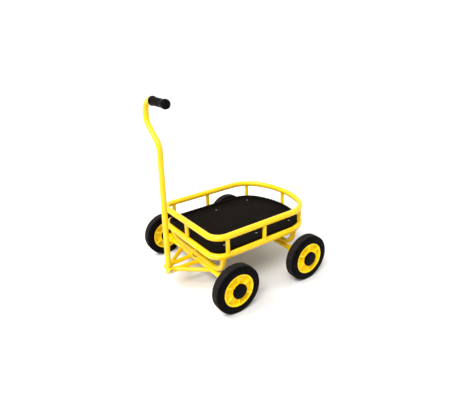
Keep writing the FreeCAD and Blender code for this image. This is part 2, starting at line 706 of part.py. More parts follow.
def steering_pivot():
    """King pin, head on the front hoop, boss on the front axle, washer and nut."""
    x = AXLE_PLACE
    head_height = "dim.head_top - dim.head_bottom"
    head = cylinder("head_outer", "dim.head_radius", head_height, x, 0, "dim.head_bottom")
    boss = cylinder("boss_outer", "dim.head_radius", f"{BOSS_TOP} - dim.boss_bottom", x, 0,
                    "dim.boss_bottom")
    head_bore = cylinder("head_bore", "dim.axle_rod", head_height, x, 0, "dim.head_bottom")
    boss_bore = cylinder("boss_bore", PIN_GAP, f"{BOSS_TOP} - dim.boss_bottom", x, 0,
                         "dim.boss_bottom")
    keep(cut("steering_head_bored", head, head_bore), "steering_head")
    keep(cut("steering_boss_bored", boss, boss_bore), "front_axle_boss")

    washer_start = f"{BOSS_TOP} + dim.washer_gap"
    thickness = f"dim.head_bottom - {BOSS_TOP} - dim.washer_gap"
    ring = cylinder("thrust_outer", "dim.thrust_radius", thickness, x, 0, washer_start)
    hole = cylinder("thrust_hole", "dim.axle_rod", thickness, x, 0, washer_start)
    keep(cut("thrust_ring", ring, hole), "steering_washer")

    nut_top = "dim.boss_bottom - dim.washer_gap"
    shank_end = f"{nut_top} - dim.hex_height - {SHANK_SPARE}"
    shank = cylinder("king_shank", "dim.axle_rod", f"dim.head_top - ({shank_end}) + {OVERLAP}",
                     x, 0, shank_end)
    crown = hexagon("king_head", "dim.hex_radius", "dim.hex_height", x, 0, "dim.head_top")
    keep(fuse("king_pin_solid", shank, crown), "king_pin")
    nut = hexagon("king_nut", "dim.hex_radius", "dim.hex_height", x, 0, f"{nut_top} - dim.hex_height")
    nut_hole = cylinder("king_nut_hole", "dim.axle_rod", "dim.hex_height", x, 0,
                        f"{nut_top} - dim.hex_height")
    keep(cut("king_nut_bored", nut, nut_hole), "king_pin_nut")
    return head, boss


# ---------------------------------------------------------------- drawbar

def bar_between(name, radius, start, end):
    """A round bar between two points at the drawbar's height."""
    (x0, y0), (x1, y1) = start, end
    run = f"(({x1}) - ({x0}))"
    drift = f"(({y1}) - ({y0}))"
    length = f"sqrt({run}^2 + {drift}^2)"
    yaw = f"atan2({drift}; {run})"
    return cylinder(name, radius, length, x0, y0, "dim.drawbar_height", yaw=yaw, pitch=90)


def lug(hand, sign):
    """The flat eye at the front of a middle tube that holds the pivot bolt."""
    inner = "dim.lug_inner" if sign == "1" else "-dim.lug_outer"
    outer = "dim.lug_outer" if sign == "1" else "-dim.lug_inner"
    eye = cross_cylinder(f"lug_eye_{hand}", "dim.lug_radius", "dim.pivot_place", inner, outer,
                         "dim.pivot_height")
    plate = block(f"lug_plate_{hand}", "dim.lug_root", inner,
                  "dim.pivot_height - dim.lug_radius", "dim.pivot_place - dim.lug_root",
                  "dim.lug_outer - dim.lug_inner", "2 * dim.lug_radius")
    return fuse(f"lug_{hand}", eye, plate)


def drawbar(axle, boss):
    """Two middle tubes with lugs, and two braces that spread to the axle."""
    bolt_hole = cross_cylinder("lug_hole", f"dim.bolt_radius + {HOLE_GAP}", "dim.pivot_place",
                               "-2 * dim.lug_outer", "2 * dim.lug_outer", "dim.pivot_height")
    throat = block("lug_throat", "dim.lug_root", "-dim.lug_inner",
                   "dim.pivot_height - 2 * dim.lug_radius", "dim.pivot_place",
                   "2 * dim.lug_inner", "4 * dim.lug_radius")
    for hand, sign in (("left", "1"), ("right", "-1")):
        start = (AXLE_PLACE, f"{sign} * dim.drawbar_foot")
        end = ("dim.drawbar_end", f"{sign} * dim.drawbar_tip")
        outer = bar_between(f"drawbar_outer_{hand}", "dim.drawbar_radius", start, end)
        inner_radius = "dim.drawbar_radius - dim.drawbar_wall"
        bore_end = ("dim.drawbar_end - dim.drawbar_wall", f"{sign} * dim.drawbar_tip")
        bore = bar_between(f"drawbar_bore_{hand}", inner_radius, start, bore_end)
        tube = cut(f"drawbar_tube_solid_{hand}", outer, bore, axle, boss)
        whole = fuse(f"drawbar_joined_{hand}", tube, lug(hand, sign))
        keep(cut(f"drawbar_tube_{hand}_drilled", whole, bolt_hole, throat), f"drawbar_tube_{hand}")

        start = (AXLE_PLACE, f"{sign} * dim.brace_foot")
        end = ("dim.brace_end", f"{sign} * dim.drawbar_tip")
        brace = bar_between(f"brace_outer_{hand}", "dim.brace_radius", start, end)
        hollow = bar_between(f"brace_bore_{hand}", "dim.brace_radius - dim.drawbar_wall", start, end)
        keep(cut(f"brace_{hand}", brace, axle, outer, hollow), f"drawbar_brace_{hand}")


# ---------------------------------------------------------------- handle

def pivot_fixings():
    """The bolt through the lugs and the handle, and its nut."""
    x = "dim.pivot_place"
    z = "dim.pivot_height"
    nut_start = "-dim.lug_outer - dim.hex_height"
    shank_start = f"{nut_start} - {SHANK_SPARE}"
    shank = cross_cylinder("bolt_shank", "dim.bolt_radius", x, shank_start,
                           f"dim.lug_outer + {OVERLAP}", z)
    head = hexagon("bolt_crown", "dim.bolt_hex", "dim.bolt_head", x, "dim.lug_outer", z, roll=-90)
    keep(fuse("bolt_solid", shank, head), "handle_pivot_bolt")
    nut = hexagon("bolt_nut", "dim.bolt_hex", "dim.hex_height", x, nut_start, z, roll=-90)
    hole = cross_cylinder("bolt_nut_hole", "dim.bolt_radius", x, nut_start, "-dim.lug_outer", z)
    keep(cut("bolt_nut_bored", nut, hole), "handle_pivot_nut")


TUBE_END_WALL = 4         # closed lower end of the handle tube
TUBE_END_ROUNDING = 4     # rounding of that end's edge
HANDLE_SLOPE = "dim.handle_drift / dim.handle_knee"
START_DRIFT = f"dim.handle_tail * {HANDLE_SLOPE}"
BORE_DRIFT = f"(dim.handle_tail - {TUBE_END_WALL}) * {HANDLE_SLOPE}"


def at_pivot(thing):
    """Put a piece drawn about the pivot where the resting handle is."""
    return place(thing, "dim.pivot_place", 0, "dim.pivot_height", pitch="-dim.handle_lean")


def handle():
    """The bent handle tube, drawn upright about its pivot, then leaned back."""
    corners = [
        (START_DRIFT, "-dim.handle_tail"),
        ("-dim.handle_drift", "dim.handle_knee"),
        ("-dim.handle_offset", "dim.handle_elbow"),
        ("-dim.handle_offset", "dim.handle_length"),
        ("dim.grip_end - dim.grip_ball", "dim.handle_length"),
    ]
    bends = ["dim.handle_bend", "dim.handle_bend", "dim.handle_top_bend"]

    def path(sketch):
        bent_path(sketch, corners, bends)

    def bore_path(sketch):
        start = (BORE_DRIFT, f"{TUBE_END_WALL} - dim.handle_tail")
        bent_path(sketch, [start] + corners[1:], bends)

    outer = pipe("handle_outer", path, "dim.handle_radius", "YZ_Plane")
    low = value("-dim.handle_tail")
    round_edges(outer, lambda edge: edge.BoundBox.ZMax < low + TUBE_END_WALL, TUBE_END_ROUNDING)
    bore = pipe("handle_bore", bore_path, "dim.handle_radius - dim.handle_wall", "YZ_Plane")
    bush_hole = cross_cylinder("bush_seat", "dim.bush_radius", 0, "-dim.handle_radius * 2",
                               "dim.handle_radius * 2", 0)
    hollow = cut("handle_hollow", outer, bore, bush_hole)
    keep(at_pivot(hollow), "handle_tube")

    half = "(dim.lug_inner - dim.washer_gap)"
    bush = cross_cylinder("bush_outer", "dim.bush_radius", 0, f"-{half}", half, 0)
    bush_bore = cross_cylinder("bush_bore", "dim.bolt_radius + dim.running_gap", 0, f"-{half}", half, 0)
    keep(at_pivot(cut("bush", bush, bush_bore)), "handle_bush")


GRIP_PAD = 0.42           # flat of the grip's round end, in ball radii
GRIP_CROWN = (0.29, 0.86) # the ball's upper corner: depth and radius, in ball radii
GRIP_BELLY = 0.8          # where the ball is widest, from its end, in ball radii
GRIP_UNDER = (1.3, 0.95)  # the ball's lower corner: depth and radius, in ball radii
GRIP_NECK = 1.75          # where the waist begins, in ball radii
GRIP_RISE = 16            # where the waist ends, from the grip's start
GRIP_LIP = 8              # width of the flange at the grip's start
GRIP_ROUNDING = 3


def grip():
    """A soft moulded cross grip: flange, waisted body and a round outer end."""
    seat = "dim.handle_radius"
    ball = "dim.grip_ball"
    end = "dim.grip_end"
    wall = f"({end} - {ball})"
    crown_depth, crown_radius = GRIP_CROWN
    under_depth, under_radius = GRIP_UNDER
    body = turned("grip_body", [
        ("-dim.grip_start", seat),
        (wall, seat),
        (wall, "0"),
        (end, "0"),
        (end, f"{ball} * {GRIP_PAD}"),
        (f"{end} - {ball} * {crown_depth}", f"{ball} * {crown_radius}"),
        (f"{end} - {ball} * {GRIP_BELLY}", ball),
        (f"{end} - {ball} * {under_depth}", f"{ball} * {under_radius}"),
        (f"{end} - {ball} * {GRIP_NECK}", "dim.grip_waist"),
        (f"-dim.grip_start + {GRIP_RISE}", "dim.grip_waist"),
        (f"-dim.grip_start + {GRIP_LIP}", "dim.grip_flange"),
        ("-dim.grip_start", "dim.grip_flange"),
    ])
    bore = value(seat)

    def outer_ring(edge):
        curve = edge.Curve
        return isinstance(curve, Part.Circle) and curve.Radius > bore + SEAT_GAP

    round_edges(body, outer_ring, GRIP_ROUNDING)
    place(body, "dim.pivot_place - sin(dim.handle_lean) * dim.handle_length", 0,
          "dim.pivot_height + cos(dim.handle_lean) * dim.handle_length", pitch="-dim.handle_lean")
    keep(body, "handle_grip")


# ---------------------------------------------------------------- wheels

BEAD_DEPTH = 3            # the rim lip's thickness, which the tyre's bead hugs
BEAD_SLOPE = 0.5          # step of the sloping face between lip and seat
BEAD_FOOT = 1.2           # the sidewall's foot, inside the tyre's side
BEAD_RISE = 4             # how far the foot's bevel climbs the sidewall
CROWN_FLAT = 3            # half the flat of the tread's crown
CROWN_DROP = 0.3          # fall of the tread from its crown to its edges
SHOULDER_DROP = 0.8       # fall from the crown to the sidewall's corner
GROOVE_STEPS = (-1.5, -0.5, 0.5, 1.5)


def tyre(name):
    """A solid tyre with round shoulders and fine grooves round its tread."""
    half = "dim.tyre_half"
    seat = f"dim.rim_seat + {SEAT_GAP}"
    lip = f"dim.rim_flange + 2 * {SEAT_GAP}"
    seat_edge = f"(dim.rim_half - {BEAD_DEPTH} - {BEAD_SLOPE} - 2 * {SEAT_GAP})"
    lip_edge = f"(dim.rim_half - {BEAD_DEPTH} - 2 * {SEAT_GAP})"
    foot = f"({half} - {BEAD_FOOT})"
    tread_edge = f"({half} - dim.tyre_shoulder)"
    corner = f"dim.wheel_radius - {SHOULDER_DROP}"
    side = [
        (seat_edge, seat),
        (lip_edge, lip),
        (foot, lip),
        (half, f"dim.rim_flange + {BEAD_RISE}"),
        (half, corner),
        (tread_edge, f"dim.wheel_radius - {CROWN_DROP}"),
        (CROWN_FLAT, "dim.wheel_radius"),
    ]
    other_side = [(f"-{along}", radius) for along, radius in reversed(side)]
    body = turned(name, side + other_side)
    shoulder = value(corner)
    round_edges(body, lambda edge: circle_edge(edge, shoulder), f"dim.tyre_shoulder - {BEAD_SLOPE}")
    grooves = sketch_on(body, "YZ_Plane", "grooves")
    floor = "dim.wheel_radius - dim.groove_depth"
    above = f"dim.wheel_radius + {OVERLAP}"
    for step in GROOVE_STEPS:
        low = f"{step} * dim.groove_pitch - dim.tread_groove / 2"
        high = f"{step} * dim.groove_pitch + dim.tread_groove / 2"
        add_polygon(grooves, [(low, floor), (high, floor), (high, above), (low, above)])
    groove = body.newObject("PartDesign::Groove", "tread")
    groove.Profile = grooves
    groove.ReferenceAxis = (grooves, ["H_Axis"])
    groove.Angle = 360
    doc.recompute()
    return body


HUB_DRAFT = 2             # slope of the moulded walls beside the web
BEARING_LEDGE = 6         # ledge that stops a bearing from sliding inwards
RIB_ROOT = 4              # how far a rib runs into the hub
RIB_STEP = 1.5            # how far a rib's face lies inside the rim's face


def rim(name):
    """A moulded rim: hub barrel, web, lip ring and six stiffening ribs."""
    seat = "dim.bearing_radius"
    neck = f"dim.bearing_radius - {BEARING_LEDGE}"
    inner_seat = "-(dim.rim_half - dim.bearing_width)"
    lip = "dim.rim_flange - dim.rim_lip"
    lip_back = f"(dim.rim_half - {BEAD_DEPTH})"
    seat_edge = f"(dim.rim_half - {BEAD_DEPTH} - {BEAD_SLOPE})"
    face = [
        ("dim.rim_half", "dim.hub_radius"),
        ("dim.web_half", f"dim.hub_radius + {HUB_DRAFT}"),
        ("dim.web_half", f"{lip} - {HUB_DRAFT}"),
        ("dim.rim_half", lip),
        ("dim.rim_half", "dim.rim_flange"),
        (lip_back, "dim.rim_flange"),
        (seat_edge, "dim.rim_seat"),
    ]
    other_face = [(f"-{along}", radius) for along, radius in reversed(face)]
    barrel = [
        ("-dim.rim_half", seat),
        (inner_seat, seat),
        (inner_seat, neck),
        (OUTER_SEAT, neck),
        (OUTER_SEAT, seat),
        ("dim.rim_half", seat),
    ]
    body = turned(name, barrel + face + other_face)
    rib = sketch_on(body, "XZ_Plane", "rib_outline")
    side = "dim.rib_width / 2"
    bottom = f"dim.hub_radius - {RIB_ROOT}"
    top = f"{lip} + {OVERLAP}"
    add_polygon(rib, [(f"-{side}", bottom), (side, bottom), (side, top), (f"-{side}", top)])
    pad = body.newObject("PartDesign::Pad", "rib")
    pad.Profile = rib
    pad.Midplane = True
    pad.setExpression("Length", f"2 * (dim.rim_half - {RIB_STEP})")
    doc.recompute()
    ribs = body.newObject("PartDesign::PolarPattern", "ribs")
    ribs.Originals = [pad]
    ribs.Axis = (rib, ["N_Axis"])
    ribs.Angle = 360
    ribs.Occurrences = 6
    body.Tip = ribs
    doc.recompute()
    return body


CAP_SHOULDER = 2.4        # height of a hub cap's dome above its drum side
CAP_RIM = (0.7, 0.7)      # the dome's outer corner: fall, and radius as a share of the cap's
CAP_MIDDLE = (0.1, 0.35)  # the dome's inner corner, given in the same way
CAP_ROUNDING = 2
SKIRT_DEPTH = 3           # how far a cap's skirt reaches into the hub
SKIRT_WALL = 2


def outer_cap(name):
    """A domed hub cap whose skirt plugs into the hub."""
    top = "(dim.tyre_half + dim.cap_proud)"
    skirt = "dim.bearing_radius"
    rim_fall, rim_share = CAP_RIM
    middle_fall, middle_share = CAP_MIDDLE
    shoulder = f"{top} - {CAP_SHOULDER}"
    body = turned(name, [
        (f"dim.rim_half - {SKIRT_DEPTH}", f"{skirt} - {SKIRT_WALL}"),
        (f"dim.rim_half - {SKIRT_DEPTH}", f"{skirt} - {SEAT_GAP}"),
        (f"dim.rim_half + {SEAT_GAP}", f"{skirt} - {SEAT_GAP}"),
        (f"dim.rim_half + {SEAT_GAP}", "dim.cap_radius"),
        (shoulder, "dim.cap_radius"),
        (f"{top} - {rim_fall}", f"dim.cap_radius * {rim_share}"),
        (f"{top} - {middle_fall}", f"dim.cap_radius * {middle_share}"),
        (top, "0"),
        (f"{top} - {CAP_SKIN}", "0"),
        (f"{top} - {CAP_SKIN} - {rim_fall}", f"{skirt} - {SKIRT_WALL}"),
    ])
    edge_radius = value("dim.cap_radius")
    at_shoulder = value(shoulder)
    round_edges(body, lambda edge: circle_edge(edge, edge_radius, at_shoulder), CAP_ROUNDING)
    return body


BOOT_GAP = 2              # clearance between the boot and the collar's nose
BOOT_FLANGE = 3           # the boot's flange, measured from the tyre's side
BOOT_FLARE = 3            # how much wider the boot is where it leaves its flange
BOOT_SLOPE = 2            # depth of the bevel between flange and boot


def dust_boot(name):
    """The boot on the wheel's inner side, with a hole round the axle."""
    bore = f"dim.collar_nose + {BOOT_GAP}"
    hub_face = f"-(dim.rim_half + {SEAT_GAP})"
    return turned(name, [
        ("-dim.boot_reach", bore),
        (hub_face, bore),
        (hub_face, "dim.cap_radius"),
        (f"-(dim.tyre_half + {BOOT_FLANGE})", "dim.cap_radius"),
        (f"-(dim.tyre_half + {BOOT_FLANGE} + {BOOT_SLOPE})", f"dim.boot_radius + {BOOT_FLARE}"),
        ("-dim.boot_reach", "dim.boot_radius"),
    ])


def bearing_ring(name, start):
    """A sealed wheel bearing, one plain ring."""
    bore = "dim.axle_rod + dim.running_gap"
    outer = f"dim.bearing_radius - {SEAT_GAP} / 2"
    end = f"({start}) + dim.bearing_width"
    return turned(name, [(start, bore), (end, bore), (end, outer), (start, outer)])


def wheel(corner, x, side, yaw):
    """All pieces of one wheel; the wheel's outer side is drawn towards +Y."""
    at = {"x": x, "y": f"{side} * {WHEEL_PLACE}", "z": AXLE_HEIGHT, "yaw": yaw}
    keep(place(tyre(f"tyre_{corner}"), **at), f"tyre_{corner}")
    keep(place(rim(f"rim_{corner}"), **at), f"rim_{corner}")
    keep(place(outer_cap(f"cap_{corner}"), **at), f"hub_cap_{corner}")
    keep(place(dust_boot(f"boot_{corner}"), **at), f"dust_boot_{corner}")
    inner = place(bearing_ring(f"bearing_in_{corner}", "-dim.rim_half"), **at)
    outer = place(bearing_ring(f"bearing_out_{corner}", OUTER_SEAT), **at)
    keep(group(f"bearings_{corner}", [inner, outer]), f"wheel_bearings_{corner}")


def all_wheels():
    for end, x in (("front", AXLE_PLACE), ("rear", f"-{AXLE_PLACE}")):
        wheel(f"{end}_left", x, "1", 0)
        wheel(f"{end}_right", x, "-1", 180)


# ---------------------------------------------------------------- build

def build():
    top_outer = rail("top_rail", "dim.top_rail_height")
    lower_outer = rail("lower_rail", "dim.lower_rail_height")
    all_posts(fuse("rail_solids", top_outer, lower_outer))
    deck_and_fixings(lower_outer)
    head, boss = steering_pivot()
    hoop("front_hoop", AXLE_PLACE, "dim.front_hoop_height", lower_outer, head)
    hoop("rear_hoop", f"-{AXLE_PLACE}", REAR_HOOP_HEIGHT, lower_outer)
    rear_axle()
    axle = front_axle(boss)
    drawbar(axle, boss)
    pivot_fixings()
    handle()
    grip()
    all_wheels()
    doc.recompute()


def check():
    """Stop if any object failed or any sub-part has no valid solid."""
    for thing in doc.Objects:
        bad = {"Invalid", "Error"} & set(thing.State)
        if bad:
            raise RuntimeError(f"{thing.Name} is {bad}")
    for node, thing in kept.items():
        shape = thing.Shape
        if shape.isNull() or not shape.isValid() or not shape.Solids:
            raise RuntimeError(f"{node} has no valid solid")


def write():
    os.makedirs("parts", exist_ok=True)
    for node, thing in kept.items():
        solids = thing.Shape.Solids
        shape = solids[0] if len(solids) == 1 else Part.makeCompound(solids)
        shape.exportStep(f"parts/{node}.step")
        print(f"{node}: {len(solids)} solid(s), {shape.Volume / 1000:.1f} cm3")


build()
check()
write()
print(f"{len(kept)} nodes")
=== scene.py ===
import json
import math

import bmesh
import bpy
from mathutils import Matrix, Vector


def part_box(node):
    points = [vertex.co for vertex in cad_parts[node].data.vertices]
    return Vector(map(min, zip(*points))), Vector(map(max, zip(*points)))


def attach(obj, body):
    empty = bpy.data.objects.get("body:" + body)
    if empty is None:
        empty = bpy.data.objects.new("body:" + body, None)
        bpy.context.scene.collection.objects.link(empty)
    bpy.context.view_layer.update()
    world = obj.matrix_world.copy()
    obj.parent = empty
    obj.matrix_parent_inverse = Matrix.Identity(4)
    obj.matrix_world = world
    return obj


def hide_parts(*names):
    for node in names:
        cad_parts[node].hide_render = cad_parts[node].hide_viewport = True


# A kids pull wagon, dressed on its CAD frame. The frame's tubes, deck, handle and fixings stay
# as they are and get procedural materials. The tyres, rims, hub caps, dust boots and grip are
# redrawn with finer shapes, and weld beads are added where tubes meet. X points forwards, Y to
# the left and Z up. Sizes come from the frame's boxes and small offsets in mm; MM makes metres.

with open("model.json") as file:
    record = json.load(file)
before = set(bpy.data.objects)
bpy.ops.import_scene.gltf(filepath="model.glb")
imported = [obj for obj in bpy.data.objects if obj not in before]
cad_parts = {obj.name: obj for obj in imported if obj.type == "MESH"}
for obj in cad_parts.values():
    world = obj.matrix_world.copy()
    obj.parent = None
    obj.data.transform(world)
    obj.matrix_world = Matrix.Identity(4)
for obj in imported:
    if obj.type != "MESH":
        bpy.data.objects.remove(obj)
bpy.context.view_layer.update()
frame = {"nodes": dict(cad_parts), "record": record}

MM = 0.001
WHEELS = ("front_left", "front_right", "rear_left", "rear_right")
FORWARDS = Vector((1.0, 0.0, 0.0))
ACROSS = Vector((0.0, 1.0, 0.0))
UP = Vector((0.0, 0.0, 1.0))


# ---------------------------------------------------------------- material helpers

class Material:
    """A node material with short ways to add and join nodes."""

    def __init__(self, name, **settings):
        self.data = bpy.data.materials.new(name)
        self.data.use_nodes = True
        self.tree = self.data.node_tree
        self.shader = self.tree.nodes["Principled BSDF"]
        for label, number in settings.items():
            self.shader.inputs[label.replace("_", " ")].default_value = number
        self.place = self.node("ShaderNodeTexCoord").outputs["Object"]

    def node(self, kind, **settings):
        node = self.tree.nodes.new(kind)
        for label, setting in settings.items():
            setattr(node, label, setting)
        return node

    def join(self, source, target):
        self.tree.links.new(source, target)

    def noise(self, scale, detail=3.0, rough=0.5, stretch=None):
        """A noise pattern; scale is in features per metre."""
        node = self.node("ShaderNodeTexNoise")
        node.inputs["Scale"].default_value = scale
        node.inputs["Detail"].default_value = detail
        node.inputs["Roughness"].default_value = rough
        source = self.place
        if stretch:
            mapping = self.node("ShaderNodeMapping")
            mapping.inputs["Scale"].default_value = stretch
            self.join(self.place, mapping.inputs["Vector"])
            source = mapping.outputs["Vector"]
        self.join(source, node.inputs["Vector"])
        return node.outputs["Fac"]

    def cells(self, scale, feature="F1"):
        """A cell pattern; scale is in cells per metre."""
        node = self.node("ShaderNodeTexVoronoi", feature=feature)
        node.inputs["Scale"].default_value = scale
        self.join(self.place, node.inputs["Vector"])
        return node.outputs["Distance"]

    def spread(self, source, low, high, to_low=0.0, to_high=1.0):
        """Map a range of a pattern to another range, and clamp it."""
        node = self.node("ShaderNodeMapRange")
        for label, number in (("From Min", low), ("From Max", high),
                              ("To Min", to_low), ("To Max", to_high)):
            node.inputs[label].default_value = number
        self.join(source, node.inputs["Value"])
        return node.outputs["Result"]

    def math(self, operation, first, second):
        """Join two patterns or plain numbers by a sum or the like."""
        node = self.node("ShaderNodeMath", operation=operation)
        for slot, value in zip(node.inputs, (first, second)):
            if isinstance(value, (int, float)):
                slot.default_value = value
            else:
                self.join(value, slot)
        return node.outputs["Value"]

    def blend(self, factor, first, second):
        """Mix two colours by a pattern."""
        node = self.node("ShaderNodeMix", data_type="RGBA")
        self.join(factor, node.inputs["Factor"])
        for slot, colour in ((node.inputs["A"], first), (node.inputs["B"], second)):
            if isinstance(colour, tuple):
                slot.default_value = (*colour, 1.0)
            else:
                self.join(colour, slot)
        return node.outputs["Result"]

    def colour(self, source):
        self.join(source, self.shader.inputs["Base Color"])

    def roughness(self, source):
        self.join(source, self.shader.inputs["Roughness"])

    def bump(self, height, depth, strength=1.0):
        """Add a bump whose full height is depth metres; bumps stack."""
        node = self.node("ShaderNodeBump")
        node.inputs["Strength"].default_value = strength
        node.inputs["Distance"].default_value = depth
        self.join(height, node.inputs["Height"])
        normal = self.shader.inputs["Normal"]
        if normal.is_linked:
            self.join(normal.links[0].from_socket, node.inputs["Normal"])
        self.join(node.outputs["Normal"], normal)


# ---------------------------------------------------------------- materials

def yellow_paint():
    """Gloss powder coat: slight orange peel, faint tone changes, dulled patches."""
    clean, deep = (0.88, 0.585, 0.002), (0.84, 0.525, 0.0015)
    m = Material("yellow_powder_coat", Specular_IOR_Level=0.1, Coat_Weight=0.6,
                 Coat_Roughness=0.05)
    m.colour(m.blend(m.spread(m.noise(9, 5, 0.6), 0.35, 0.7), clean, deep))
    dull = m.math("ADD", m.spread(m.noise(26, 5, 0.6), 0.4, 0.75, 0.16, 0.32),
                  m.spread(m.noise(900, 2), 0.45, 0.8, 0.0, 0.06))
    m.roughness(dull)
    m.bump(m.noise(260, 2), 0.00014, 0.5)
    m.bump(m.noise(1400, 1), 0.00002, 0.5)
    return m.data


def yellow_plastic():
    """Moulded rim plastic: softer gloss, fine mould grain, flow marks, patchy grime."""
    pale, deep, grimy = (0.95, 0.71, 0.004), (0.92, 0.6, 0.003), (0.72, 0.36, 0.003)
    m = Material("yellow_rim_plastic", Specular_IOR_Level=0.22, Subsurface_Weight=0.05,
                 Subsurface_Scale=0.004)
    flow = m.spread(m.noise(55, 4, 0.55), 0.38, 0.66)
    clean = m.blend(flow, pale, deep)
    grime = m.spread(m.noise(150, 5, 0.65), 0.56, 0.8, 0.0, 0.45)
    m.colour(m.blend(grime, clean, grimy))
    m.roughness(m.spread(m.noise(60, 4), 0.35, 0.7, 0.26, 0.44))
    m.bump(m.noise(1500, 2), 0.00004, 0.5)
    return m.data


def tyre_rubber():
    """Black moulded rubber with a fine pebble skin and a little grey dust."""
    black, dusty = (0.0022, 0.0016, 0.0018), (0.0058, 0.0047, 0.0044)
    m = Material("tyre_rubber", Specular_IOR_Level=0.035)
    dust = m.spread(m.noise(45, 6, 0.65), 0.5, 0.8)
    m.colour(m.blend(dust, black, dusty))
    m.roughness(m.spread(m.noise(120, 4), 0.3, 0.7, 0.45, 0.68))
    m.bump(m.cells(1100), 0.00008, 0.6)
    m.bump(m.noise(300, 3), 0.0001, 0.4)
    return m.data


def tread_highlight_rubber():
    """The raised bands of the tread, painted greyer than the moulded skin as a highlight on the
    ridges, mottled by scuffs.
    """
    # Both colours are lighter than the tyre's own black. They are a painted highlight on the ridge
    # tops, and the scuff noise only mottles it.
    dark, scuffed = (0.014, 0.012, 0.0118), (0.032, 0.028, 0.0265)
    along_tread = (1.0, 0.35, 1.0)
    m = Material("tread_rubber_with_painted_highlight", Specular_IOR_Level=0.12)
    scuffs = m.spread(m.noise(130, 6, 0.7, along_tread), 0.4, 0.68)
    m.colour(m.blend(scuffs, dark, scuffed))
    m.roughness(m.spread(m.noise(160, 4), 0.3, 0.7, 0.62, 0.82))
    m.bump(m.cells(900), 0.0001, 0.5)
    return m.data


def deck_plastic():
    """The deck's black moulded sheet: pebble grain, faint brown tone and scuffs."""
    black, brown = (0.0046, 0.0034, 0.0024), (0.0066, 0.0049, 0.0035)
    scuffed = (0.0105, 0.0086, 0.0068)
    lengthways = (1.0, 6.0, 1.0)
    m = Material("deck_plastic", Specular_IOR_Level=0.02)
    tone = m.spread(m.noise(9, 5, 0.6), 0.35, 0.7)
    base = m.blend(tone, black, brown)
    scuffs = m.spread(m.noise(70, 6, 0.7, lengthways), 0.62, 0.74)
    m.colour(m.blend(scuffs, base, scuffed))
    m.roughness(m.spread(m.noise(35, 5, 0.6), 0.3, 0.75, 0.5, 0.68))
    m.bump(m.cells(700, "SMOOTH_F1"), 0.00022, 0.55)
    m.bump(m.noise(2500, 2), 0.00004, 0.4)
    return m.data


def cap_plastic():
    """Satin black plastic of the hub caps and dust boots."""
    black, grey = (0.002, 0.0016, 0.0022), (0.0042, 0.0036, 0.0044)
    m = Material("cap_plastic", Specular_IOR_Level=0.03)
    m.colour(m.blend(m.noise(80, 4), black, grey))
    m.roughness(m.spread(m.noise(140, 4), 0.3, 0.7, 0.28, 0.42))
    m.bump(m.noise(1800, 2), 0.00003, 0.5)
    return m.data


def grip_rubber():
    """Soft black grip: fine grain, with shinier patches as if polished by hands."""
    black, grey = (0.0022, 0.0018, 0.0016), (0.0048, 0.004, 0.0036)
    m = Material("grip_rubber", Specular_IOR_Level=0.03)
    m.colour(m.blend(m.noise(90, 4), black, grey))
    m.roughness(m.spread(m.noise(50, 4), 0.35, 0.7, 0.3, 0.52))
    m.bump(m.cells(1600), 0.00004, 0.35)
    return m.data


def zinc_steel():
    """Zinc-plated steel: cloudy, slightly brushed, with small duller spots."""
    bright, dull = (0.52, 0.52, 0.5), (0.36, 0.37, 0.38)
    brushed = (1.0, 1.0, 8.0)
    m = Material("zinc_steel", Metallic=1.0)
    cloud = m.spread(m.noise(160, 5, 0.6), 0.35, 0.7)
    m.colour(m.blend(cloud, bright, dull))
    m.roughness(m.spread(m.noise(400, 4), 0.3, 0.7, 0.22, 0.42))
    m.bump(m.noise(900, 3, 0.5, brushed), 0.00003, 0.4)
    return m.data


def bearing_steel():
    """Ground steel rings of the bearings, with a film of grease."""
    bright, greasy = (0.4, 0.39, 0.37), (0.22, 0.2, 0.18)
    m = Material("bearing_steel", Metallic=1.0)
    m.colour(m.blend(m.noise(200, 4), bright, greasy))
    m.roughness(m.spread(m.noise(350, 4), 0.3, 0.7, 0.25, 0.45))
    m.bump(m.noise(1200, 2), 0.00002, 0.5)
    return m.data


def nylon():
    """The pale bush in the handle's lower end."""
    pale, darker = (0.66, 0.64, 0.57), (0.58, 0.55, 0.48)
    m = Material("nylon_bush", Subsurface_Weight=0.15, Subsurface_Scale=0.003)
    m.colour(m.blend(m.noise(150, 4), pale, darker))
    m.roughness(m.spread(m.noise(300, 3), 0.3, 0.7, 0.4, 0.55))
    m.bump(m.noise(1500, 2), 0.00003, 0.4)
    return m.data


def stage_paper():
    """The matt near-white paper of the studio floor."""
    pale, darker = (0.82, 0.82, 0.82), (0.8, 0.8, 0.8)
    m = Material("stage_paper", Specular_IOR_Level=0.1)
    m.colour(m.blend(m.noise(3, 3), pale, darker))
    m.roughness(m.spread(m.noise(40, 3), 0.3, 0.7, 0.85, 0.95))
    return m.data


PAINT = yellow_paint()
RIM_PLASTIC = yellow_plastic()
TYRE_RUBBER = tyre_rubber()
TREAD_HIGHLIGHT_RUBBER = tread_highlight_rubber()
DECK_PLASTIC = deck_plastic()
CAP_PLASTIC = cap_plastic()
GRIP_RUBBER = grip_rubber()
STEEL = zinc_steel()
BEARING = bearing_steel()
NYLON = nylon()

SLOT_MATERIALS = {
    "frame_paint": PAINT,
    "rim_plastic": RIM_PLASTIC,
    "tyre_rubber": TYRE_RUBBER,
    "cap_plastic": CAP_PLASTIC,
    "deck_plastic": DECK_PLASTIC,
    "grip_rubber": GRIP_RUBBER,
    "nylon": NYLON,
    "zinc_steel": STEEL,
    "bearing_steel": BEARING,
}


def paint_cad_nodes():
    """Give every CAD node the material of its slot in the record."""
    for part in frame["record"]["subparts"]:
        node = frame["nodes"][part["node"]]
        for slot in node.material_slots:
            slot.material = SLOT_MATERIALS[part["material_slot"]]


# ---------------------------------------------------------------- shape helpers

